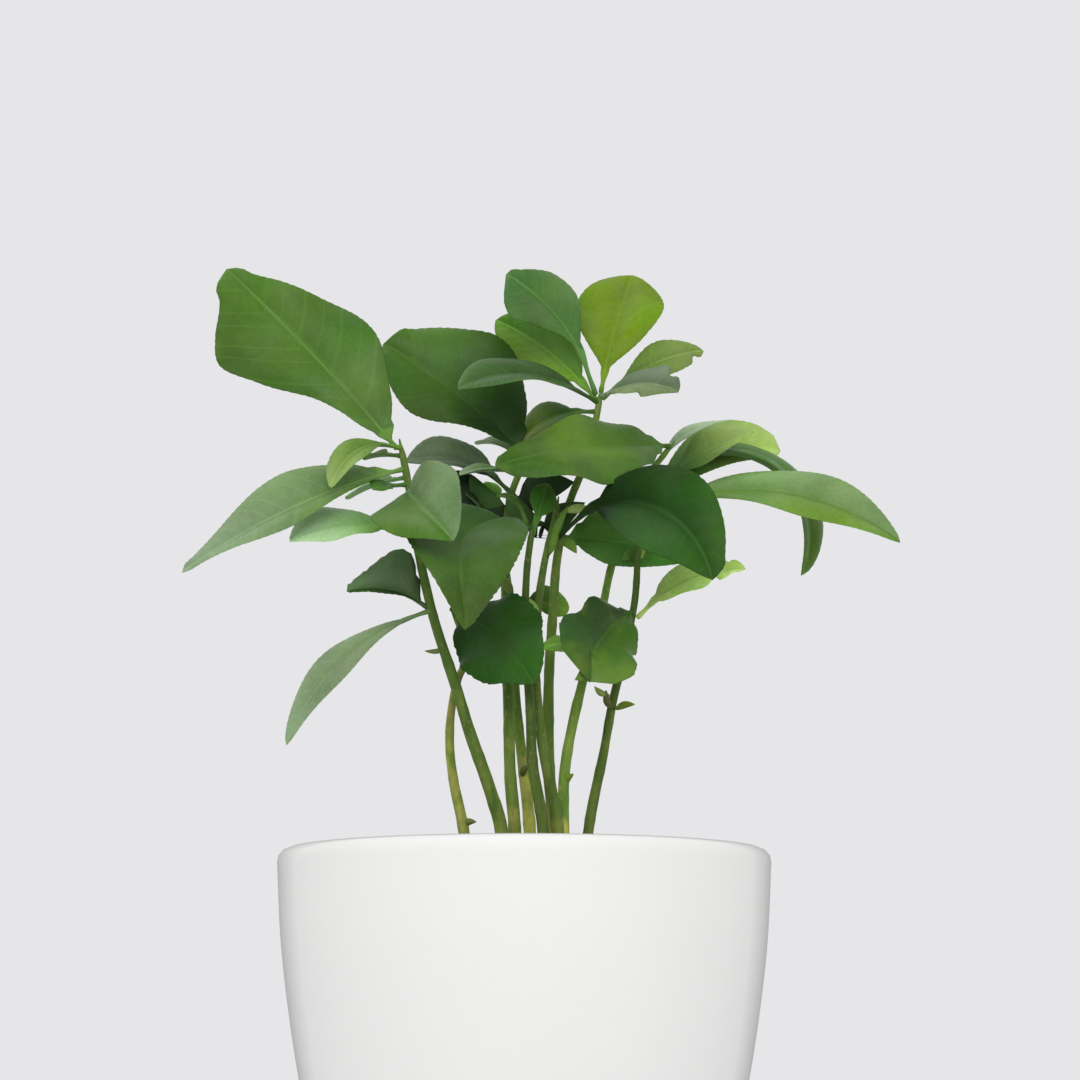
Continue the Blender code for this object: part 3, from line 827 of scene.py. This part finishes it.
def bark_material(colours):
    """Green bark with darker streaks, corky flecks and a woody foot."""

    def colour(tree):
        streaks = ramp(tree, speckle(tree, 420, 3, (1, 1, 0.12)), 0.35, 0.65)
        green = mixed(tree, streaks, linear(colours.shade), linear(colours.bark))
        shaded = mixed(tree, attribute(tree, "crown"), green, linear(colours.shade))
        wood = mixed(tree, ramp(tree, speckle(tree, 300, 3, (1, 1, 0.3)), 0.4, 0.7),
                     linear(colours.wood), linear(colours.scar))
        patch = ramp(tree, speckle(tree, 130, 3), 0.35, 0.6, -0.35, 0.35)
        amount = ramp(tree, maths(tree, "ADD", attribute(tree, "wood"), patch), 0.3, 0.7)
        woody = mixed(tree, amount, shaded, wood)
        flecks = ramp(tree, speckle(tree, 1100, 1, (1, 1, 0.5)), 0.62, 0.7)
        flecked = mixed(tree, maths(tree, "MULTIPLY", flecks, 0.7), woody, linear(colours.scar))
        return put(tree, "ShaderNodeHueSaturation", links={
            "Color": flecked, "Value": attribute(tree, "light")}).outputs["Color"]

    def rough(tree):
        return ramp(tree, speckle(tree, 500, 2), 0.3, 0.7, 0.5, 0.75)

    def bump(tree):
        grain = speckle(tree, 900, 3, (1, 1, 0.2))
        return maths(tree, "ADD", grain, speckle(tree, 2200, 2))

    return finish("stem_bark", colour, rough, bump, 0.12, Specular_IOR_Level=0.2)


def stem_tree():
    """A round stem along a line, as thick at each point as its thickness attribute says."""
    tree, source, out = node_tree("stem_tube", {
        "Sides": ("Int", 20), "Bark": ("Material", None)})
    line = put(tree, "GeometryNodeMeshToCurve", links={"Mesh": source.outputs["Geometry"]})
    thickness = put(tree, "GeometryNodeInputNamedAttribute", {"Name": "thickness"},
                    data_type="FLOAT")
    sized = put(tree, "GeometryNodeSetCurveRadius", links={
        "Curve": line.outputs["Curve"], "Radius": thickness.outputs["Attribute"]})
    ring = put(tree, "GeometryNodeCurvePrimitiveCircle", {"Radius": 1.0}, {
        "Resolution": source.outputs["Sides"]})
    tube = put(tree, "GeometryNodeCurveToMesh", {"Fill Caps": True}, {
        "Curve": sized.outputs["Curve"], "Profile Curve": ring.outputs["Curve"],
        "Scale": thickness.outputs["Attribute"]})
    rounded = put(tree, "GeometryNodeSetShadeSmooth", links={"Geometry": tube.outputs["Mesh"]})
    real = put(tree, "GeometryNodeRealizeInstances", links={"Geometry": rounded.outputs["Geometry"]})
    done = put(tree, "GeometryNodeSetMaterial", links={
        "Geometry": real.outputs["Geometry"], "Material": source.outputs["Bark"]})
    tree.links.new(done.outputs["Geometry"], out.inputs["Geometry"])
    return tree


def make_stem(stem, colours, tree, bark):
    """A round stem that sways, swells at its joints and thins toward its tip."""
    middles, radii = stem_rings(stem)
    knots = run_of(middles)
    at = np.linspace(0, knots[-1], round(knots[-1] / STEM_STATION) + 1)
    line = through(knots, middles, at)
    seed = sum(ord(letter) for letter in stem)
    radius = np.interp(at, knots, radii) / math.cos(math.pi / (2 * RING))
    joint = (at + seed) % (colours.joint_spacing / MM) - JOINT_START
    swelling = colours.swelling / MM * np.exp(-(joint / JOINT_BREADTH) ** 2) * radius / radii[0]
    wobble = np.array([noise.noise(Vector((seed, 0, a * 0.12))) for a in at])
    sway = np.array([noise.noise_vector(Vector((seed, 5, a * 0.06))) for a in at])
    line = line + np.array(sway) * [0.5, 0.5, 0.1] * smooth((at - SWAY_START) / SWAY_LENGTH)[:, None]
    amount, reach, girth, light = BARKS[stem]
    tip = 1 - 0.75 * smooth((at - knots[-1] + TIP) / TIP)
    slender = girth * (1 - SLENDERNESS * at / knots[-1]) * tip
    thickness = (radius * (1 + 0.07 * wobble) + swelling) * slender
    mesh = bpy.data.meshes.new(f"stem_{stem}_line")
    mesh.from_pydata([tuple(p) for p in line * MM], [(i, i + 1) for i in range(len(line) - 1)], [])
    height = line[:, 2] - SOIL_LEVEL
    add_values(mesh, "thickness", thickness * MM)
    add_values(mesh, "wood", amount * (1 - smooth((height - reach * 0.5) / reach)))
    add_values(mesh, "crown", smooth((height - CROWN_START) / CROWN_LENGTH) * 0.6)
    add_values(mesh, "light", np.full(len(line), light))
    obj = grown(f"stem_{stem}_bark", mesh, tree, {"Sides": colours.sides, "Bark": bark})
    return settled(obj, "stem_bark", f"stem_{stem}")


class PomeloMakeStems(bpy.types.Operator):
    """Makes every stem along its packed line"""

    bl_idname = "pomelo.make_stems"
    bl_label = "Make stems"

    def execute(self, context):
        colours = context.scene.pomelo_stems
        noise.seed_set(SWAY_SEED)
        tree = stem_tree()
        bark = bark_material(colours)
        for stem in STEMS:
            make_stem(stem, colours, tree, bark)
        return {"FINISHED"}


# Buds, and the stubs of old leaf stalks

# Each sprig: where its bud starts, its tip, its radius, how flat it is, and its green.
# Sprigs in night, deep or dark green are coloured with painted shade, as they sit inside the crown.
SPRIGS = [
    ((-20.5, -12.0, 164.0), (-26.3, -13.5, 163.2), 0.7, 0.8, "olive"),
    ((9.5, 5.0, 196.0), (14.1, 5.0, 192.2), 1.5, 0.6, "fresh"),
    ((3.0, 6.0, 196.0), (3.6, 8.0, 203.0), 0.6, 0.8, "night"),
    ((4.0, 6.0, 196.0), (6.0, 8.0, 202.0), 0.6, 0.8, "night"),
    ((2.0, 6.0, 197.0), (1.4, 8.0, 202.0), 0.5, 0.8, "deep"),
    ((-7.5, 1.0, 186.0), (-3.0, -3.0, 178.5), 1.3, 0.5, "olive"),
    ((-0.7, -4.0, 179.5), (2.0, -5.0, 169.0), 2.2, 0.3, "straw"),
    ((6.8, -1.0, 190.5), (11.9, 1.0, 205.0), 1.2, 0.5, "fresh"),
    ((10.6, 1.0, 203.2), (19.4, 2.0, 203.0), 1.3, 0.5, "straw"),
    ((-3.5, 8.0, 202.0), (-19.0, 7.0, 213.0), 5.0, 0.12, "night"),
    ((-5.5, 8.0, 204.5), (-15.0, 6.0, 214.5), 3.0, 0.2, "dark"),
    ((-1.5, 9.0, 205.0), (13.5, 8.0, 212.5), 4.6, 0.12, "night"),
    ((3.5, 7.5, 200.0), (-4.5, 6.0, 210.5), 3.2, 0.15, "dark"),
    ((6.0, 7.0, 196.5), (16.5, 9.0, 207.0), 3.4, 0.15, "deep"),
    ((-8.5, 9.0, 188.0), (-4.5, 5.0, 200.5), 3.0, 0.15, "deep"),
    ((23.3, 6.0, 150.0), (21.8, 3.0, 155.0), 1.0, 0.6, "olive"),
    ((22.3, 4.0, 153.6), (18.6, 2.0, 155.8), 0.9, 0.6, "straw"),
    ((24.2, 6.0, 150.0), (29.6, 2.0, 150.9), 1.0, 0.6, "lime"),
    ((27.0, 2.5, 189.0), (29.6, 3.5, 193.0), 1.2, 0.7, "fresh"),
    ((31.0, 1.0, 190.0), (33.2, 3.0, 194.0), 1.0, 0.7, "straw"),
    ((-16.8, 2.5, 118.5), (-12.6, 0.5, 119.5), 1.0, 0.8, "olive"),
    ((-15.8, 2.0, 112.0), (-19.3, 0.0, 113.5), 1.1, 0.8, "straw"),
    ((-1.0, 6.5, 132.0), (1.6, 4.5, 135.0), 1.0, 0.8, "olive"),
    ((10.6, 5.5, 129.5), (13.2, 3.5, 132.5), 1.1, 0.8, "lime"),
    ((-10.4, -6.8, 133.5), (-13.4, -8.5, 136.5), 0.9, 0.7, "leaf"),
]
SPRIG_SIDES = 12
SPRIG_RINGS = 9
SPRIG_BEND = 0.6  # how far it bows, as a share of its radius
PITH_STEPS = 200


def pith_points():
    """Points along the middles of all the stems."""
    lines = []
    for stem in STEMS:
        middles, _ = stem_rings(stem)
        knots = run_of(middles)
        lines.append(through(knots, middles, np.linspace(0, knots[-1], PITH_STEPS)))
    return np.vstack(lines)


def sprig_points(pith, foot, tip, radius, flatness):
    """A spindle that bows a little on its way to its tip, on a stalk that starts in the nearest stem."""
    foot, tip = np.array(foot), np.array(tip)
    along = unit(tip - foot)
    across = unit(np.cross(along, (0, 1, 0)))
    up = np.cross(across, along)
    points = []
    for k in range(1, SPRIG_RINGS):
        share = k / SPRIG_RINGS
        bow = across * radius * SPRIG_BEND * math.sin(math.pi * share)
        reach = radius * math.sin(math.pi * share ** 0.8) ** 0.8
        for i in range(SPRIG_SIDES):
            turn = 2 * math.pi * i / SPRIG_SIDES
            out = across * math.cos(turn) + up * flatness * math.sin(turn)
            points.append(foot + (tip - foot) * share + bow + out * reach)
    start = pith[np.argmin(np.linalg.norm(pith - foot, axis=1))]
    return [*points, start, tip]


class PomeloMakeSprigs(bpy.types.Operator):
    """Makes the buds, curled young leaves and stubs of old stalks"""

    bl_idname = "pomelo.make_sprigs"
    bl_label = "Make sprigs"

    def execute(self, context):
        sizes = context.scene.pomelo_leaves
        skin = leaf_material("sprig_skin", 0.5, 0.2)
        points, faces, tints = [], [], []
        pith = pith_points()
        pattern = closed_skin(SPRIG_RINGS - 1, SPRIG_SIDES)
        for *shape, green in SPRIGS:
            faces += [tuple(len(points) + corner for corner in corners) for corners in pattern]
            made = sprig_points(pith, *shape)
            points += made
            tints += [linear(getattr(sizes, green))] * len(made)
        obj = mesh_object("leaf_sprigs", np.array(points) * MM, faces, skin)
        turned_out(obj.data)
        tints = np.array(tints)
        add_values(obj.data, "tint", tints)
        add_values(obj.data, "vein_tint", tints)
        for name, value in (("under", 0.0), ("rib", 9.0), ("vein", 0.5), ("patch", 0.0)):
            add_values(obj.data, name, np.full(len(points), value))
        settled(obj, "leaf_blade")
        return {"FINISHED"}


# Soil


SOIL_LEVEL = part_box("soil")[1].z / MM
SOIL_RINGS = 44
SOIL_SIDES = 120
SOIL_CROWN = 2.0  # how far the middle stands above the edge
SOIL_SKIN = 0.6  # how far the loose surface lies above the packed one
SOIL_DEPTH = 4.0  # how far down the loose surface's piece reaches
SOIL_GAP = 0.2  # between the loose surface and the pot
STEEPEST = 0.3  # upward part of the normal under which crumbs don't lie


def soil_radius():
    """Radius of the packed soil at its edge, which is its widest ring."""
    points, _ = welded("soil")
    return np.hypot(points[:, 0], points[:, 1]).max()


def soil_height(x, y, edge):
    """The soil's surface: its packed crown with lumps and hollows laid on it."""
    crown = SOIL_CROWN * (1 - (math.hypot(x, y) / edge) ** 2)
    lumps = noise.noise(Vector((x, y, 3)) * 0.07) * 1.1 + noise.noise(Vector((x, y, 9)) * 0.25) * 0.7
    return SOIL_LEVEL - SOIL_CROWN + crown + SOIL_SKIN + lumps


def soil_finishes(mix):
    """The dark peat and the white perlite."""
    peat, chip, white = linear(mix.peat), linear(mix.bark_chip), linear(mix.perlite)

    def peat_colour(tree):
        return mixed(tree, ramp(tree, speckle(tree, 500, 4), 0.5, 0.7), peat, chip)

    def perlite_colour(tree):
        return mixed(tree, ramp(tree, speckle(tree, 600, 3), 0.4, 0.8), white, chip)

    def dusty(tree):
        return ramp(tree, speckle(tree, 800, 2), 0.3, 0.7, 0.85, 1.0)

    def gritty(tree):
        return speckle(tree, 1600, 4)

    return (finish("soil_peat", peat_colour, dusty, gritty, 0.5, Specular_IOR_Level=0.15),
            finish("soil_perlite", perlite_colour, dusty, gritty, 0.2, Specular_IOR_Level=0.2))


def soil_surface(earth):
    """A closed piece whose upper side is the soil's lumpy surface."""
    edge = soil_radius() - SOIL_GAP
    points = [(0, 0, soil_height(0, 0, edge))]
    for k in range(1, SOIL_RINGS + 1):
        radius = edge * k / SOIL_RINGS
        for i in range(SOIL_SIDES):
            turn = 2 * math.pi * i / SOIL_SIDES
            x, y = radius * math.cos(turn), radius * math.sin(turn)
            points.append((x, y, soil_height(x, y, edge)))
    floor, first = SOIL_LEVEL - SOIL_DEPTH, len(points)
    points += [(x, y, floor) for x, y, _ in points[-SOIL_SIDES:]]
    points.append((0, 0, floor))
    faces = []
    for i in range(SOIL_SIDES):
        j = (i + 1) % SOIL_SIDES
        faces.append((0, 1 + i, 1 + j))
        for k in range(SOIL_RINGS):
            low, high = 1 + k * SOIL_SIDES, 1 + (k + 1) * SOIL_SIDES
            faces.append((low + i, high + i, high + j, low + j))
        faces.append((len(points) - 1, first + j, first + i))
    return mesh_object("soil_surface", np.array(points) * MM, faces, earth)


def lid_of(surface):
    """A mesh of only the faces that crumbs can lie on."""
    top = bmesh.new()
    top.from_mesh(surface.data)
    down = [f for f in top.faces if f.normal.z < STEEPEST]
    bmesh.ops.delete(top, geom=down, context="FACES")
    lid = bpy.data.meshes.new("soil_lid")
    top.to_mesh(lid)
    top.free()
    return lid


def crumb_tree():
    """Rough crumbs scattered over a surface."""
    tree, source, out = node_tree("soil_crumbs", {
        "Density": ("Float", 1.0), "Size": ("Float", 1.0), "Seed": ("Int", 0),
        "Flatness": ("Float", 1.0), "Finish": ("Material", None)})
    dots = put(tree, "GeometryNodeDistributePointsOnFaces", links={
        "Mesh": source.outputs["Geometry"], "Density": source.outputs["Density"],
        "Seed": source.outputs["Seed"]})
    lump = put(tree, "GeometryNodeMeshIcoSphere", {"Subdivisions": 1}, {
        "Radius": source.outputs["Size"]})
    turn = put(tree, "FunctionNodeRandomValue", {"Max": (6.3, 6.3, 6.3)}, {
        "Seed": source.outputs["Seed"]}, data_type="FLOAT_VECTOR")
    size = put(tree, "FunctionNodeRandomValue", {"Min": (0.25, 0.2, 0.15), "Max": (0.8, 0.6, 0.5)}, {
        "Seed": source.outputs["Seed"]}, data_type="FLOAT_VECTOR")
    laid = put(tree, "GeometryNodeInstanceOnPoints", links={
        "Points": dots.outputs["Points"], "Instance": lump.outputs["Mesh"],
        "Rotation": turn.outputs["Value"], "Scale": size.outputs["Value"]})
    real = put(tree, "GeometryNodeRealizeInstances", links={"Geometry": laid.outputs["Instances"]})
    done = put(tree, "GeometryNodeSetMaterial", links={
        "Geometry": real.outputs["Geometry"], "Material": source.outputs["Finish"]})
    tree.links.new(done.outputs["Geometry"], out.inputs["Geometry"])
    return tree


class PomeloMakeSoil(bpy.types.Operator):
    """Makes the soil's lumpy surface, its crumbs and its perlite"""

    bl_idname = "pomelo.make_soil"
    bl_label = "Make soil"

    def execute(self, context):
        mix = context.scene.pomelo_soil
        earth, pale = soil_finishes(mix)
        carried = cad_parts["soil"].data
        carried.materials.clear()
        carried.materials.append(earth)
        surface = settled(soil_surface(earth), "potting_soil")
        lid = lid_of(surface)
        tree = crumb_tree()
        crumbs = grown("soil_crumbs", lid, tree, {
            "Density": mix.crumbs * 1e4, "Size": mix.crumb, "Seed": 7, "Finish": earth})
        settled(crumbs, "potting_soil")
        grains = grown("soil_perlite_grains", lid.copy(), tree, {
            "Density": mix.grains * 1e3, "Size": mix.grain, "Seed": 21, "Finish": pale})
        settled(grains, "potting_soil")
        return {"FINISHED"}


# Pot


POT_STATION = 1.5  # distance between the pot's rings


def pot_outline():
    """The packed pot's profile, as (radius, height) from its foot round the lip to its inner floor."""
    points, near = welded("pot")
    radii = np.hypot(points[:, 0], points[:, 1])
    foot = np.nonzero(points[:, 2] < 0.01)[0].tolist()
    rings = [(radii[ring].mean(), points[ring][:, 2].mean()) for ring in levels(near, foot)]
    return [(0, rings[0][1]), *rings, (0, rings[-1][1])]


def rounded_outline(knots):
    """The profile made smooth run by run. A run ends where the packed steps change in length."""
    run = run_of(knots)
    gaps = np.diff(run)
    uneven = np.maximum(gaps[1:], gaps[:-1]) > 2 * np.minimum(gaps[1:], gaps[:-1])
    breaks = [0, *(np.nonzero(uneven)[0] + 1), len(knots) - 1]
    outline = []
    for start, end in zip(breaks, breaks[1:]):
        part = slice(start, end + 1)
        steps = max(1, round((run[end] - run[start]) / POT_STATION))
        at = np.linspace(run[start], run[end], steps + 1)[:-1]
        outline.extend(through(run[part], knots[part], at))
    return np.array([*outline, knots[-1]])


class PomeloMakePot(bpy.types.Operator):
    """Makes the pot from its packed outline"""

    bl_idname = "pomelo.make_pot"
    bl_label = "Make pot"

    def execute(self, context):
        looks = context.scene.pomelo_pot
        white = linear(looks.glaze)

        def colour(tree):
            even = mixed(tree, ramp(tree, speckle(tree, 25, 3), 0.3, 0.7), white, white * 0.985)
            # Painted shade: the white darkens toward half grey where the surface turns away at the pot's
            # outline.
            painted_rim_shade = put(tree, "ShaderNodeLayerWeight", {"Blend": 0.5}).outputs["Facing"]
            return mixed(tree, ramp(tree, painted_rim_shade, 0.62, 1.0), even, white * 0.5)

        def rough(tree):
            return ramp(tree, speckle(tree, 90, 3), 0.3, 0.7, 0.5, 0.6)

        def grain(tree):
            return maths(tree, "ADD", speckle(tree, 1800, 2), speckle(tree, 120, 2))

        glaze = finish("pot_white", colour, rough, grain, 0.02, Specular_IOR_Level=0.35)
        outline = rounded_outline(np.array(pot_outline()))
        points = []
        sides = looks.sides
        for radius, height in outline[1:-1]:
            for i in range(sides):
                turn = 2 * math.pi * i / sides
                points.append((radius * math.cos(turn), radius * math.sin(turn), height))
        points += [(0, 0, outline[0, 1]), (0, 0, outline[-1, 1])]
        faces = closed_skin(len(outline) - 2, sides)
        pot = mesh_object("pot_shell", np.array(points) * MM, faces, glaze)
        turned_out(pot.data)
        settled(pot, "pot_ceramic", "pot")
        return {"FINISHED"}


# Stage

CAMERA_PLACE = Vector((4.145, -794.455, 58.79))
# Soft boxes: name, place, aim, size in mm, and watts.
SOFT_BOXES = [
    ("key", (20, -1050, 620), (0, 0, 150), 700, 4.4),
    ("top", (-250, 100, 1100), (0, 0, 150), 700, 2.0),
]


class PomeloSetStage(bpy.types.Operator):
    """Lays the floor, hangs the light and places the camera"""

    bl_idname = "pomelo.set_stage"
    bl_label = "Set stage"

    def execute(self, context):
        stage = context.scene.pomelo_stage
        scene = context.scene
        colour = linear(stage.backdrop)
        world = bpy.data.worlds.new("backdrop")
        world.use_nodes = True
        tree = world.node_tree
        seen = tree.nodes["Background"]
        seen.inputs["Color"].default_value = (*colour, 1)
        room = put(tree, "ShaderNodeBackground", {"Color": (1, 1, 1, 1), "Strength": stage.room})
        path = put(tree, "ShaderNodeLightPath")
        both = put(tree, "ShaderNodeMixShader", links={
            0: path.outputs["Is Camera Ray"], 1: room.outputs[0], 2: seen.outputs[0]})
        tree.links.new(both.outputs[0], tree.nodes["World Output"].inputs["Surface"])
        scene.world = world
        scene.view_settings.view_transform = "Standard"
        scene.view_settings.look = "None"

        disc = bmesh.new()
        bmesh.ops.create_circle(disc, cap_ends=True, segments=96, radius=stage.floor)
        mesh = bpy.data.meshes.new("floor")
        disc.to_mesh(mesh)
        disc.free()
        floor = bpy.data.objects.new("floor", mesh)
        scene.collection.objects.link(floor)

        def paper(tree):
            return mixed(tree, speckle(tree, 30, 2), colour * 0.98, colour)

        def matt(tree):
            return ramp(tree, speckle(tree, 60, 2), 0.3, 0.7, 0.85, 0.95)

        mesh.materials.append(finish("floor_paper", paper, matt, Specular_IOR_Level=0.1))

        for name, place, aim, size, power in SOFT_BOXES:
            light = bpy.data.lights.new(f"soft_{name}", "AREA")
            light.shape = "DISK"
            light.size = size * MM
            light.energy = power
            lamp = bpy.data.objects.new(f"soft_{name}", light)
            scene.collection.objects.link(lamp)
            lamp.location = Vector(place) * MM
            lamp.rotation_euler = (Vector(aim) - Vector(place)).to_track_quat("-Z", "Y").to_euler()

        camera = bpy.data.cameras.new("camera")
        camera.lens = stage.lens
        camera.sensor_width = 36
        camera.clip_start = 0.01
        rig = bpy.data.objects.new("camera", camera)
        scene.collection.objects.link(rig)
        rig.location = CAMERA_PLACE * MM
        rig.rotation_euler = Euler((math.pi / 2 + stage.tilt, 0, 0))
        scene.camera = rig
        return {"FINISHED"}


# Panel and run

GROUPS = {
    "pomelo_leaves": PomeloLeaves,
    "pomelo_stems": PomeloStems,
    "pomelo_soil": PomeloSoil,
    "pomelo_pot": PomeloPot,
    "pomelo_stage": PomeloStage,
}
OPERATORS = [PomeloMakePot, PomeloMakeSoil, PomeloMakeStems, PomeloMakeLeaves, PomeloMakeSprigs,
             PomeloSetStage]


class PomeloPanel(bpy.types.Panel):
    """Lists the plant's makers and their values"""

    bl_idname = "VIEW3D_PT_pomelo"
    bl_label = "Potted pomelo trees"
    bl_space_type = "VIEW_3D"
    bl_region_type = "UI"
    bl_category = "Pomelo"

    def draw(self, context):
        for maker in OPERATORS:
            self.layout.operator(maker.bl_idname)
        for key, group in GROUPS.items():
            box = self.layout.box()
            box.label(text=group.__doc__)
            for name in group.__annotations__:
                box.prop(getattr(context.scene, key), name)


def register():
    for group in [*GROUPS.values(), *OPERATORS, PomeloPanel]:
        bpy.utils.register_class(group)
    for key, group in GROUPS.items():
        setattr(bpy.types.Scene, key, bpy.props.PointerProperty(type=group))


def unregister():
    for key in GROUPS:
        delattr(bpy.types.Scene, key)
    for group in [PomeloPanel, *OPERATORS, *GROUPS.values()]:
        bpy.utils.unregister_class(group)


def main():
    register()
    for maker in OPERATORS:
        area, name = maker.bl_idname.split(".")
        getattr(getattr(bpy.ops, area), name)()


if __name__ == "__main__":
    main()
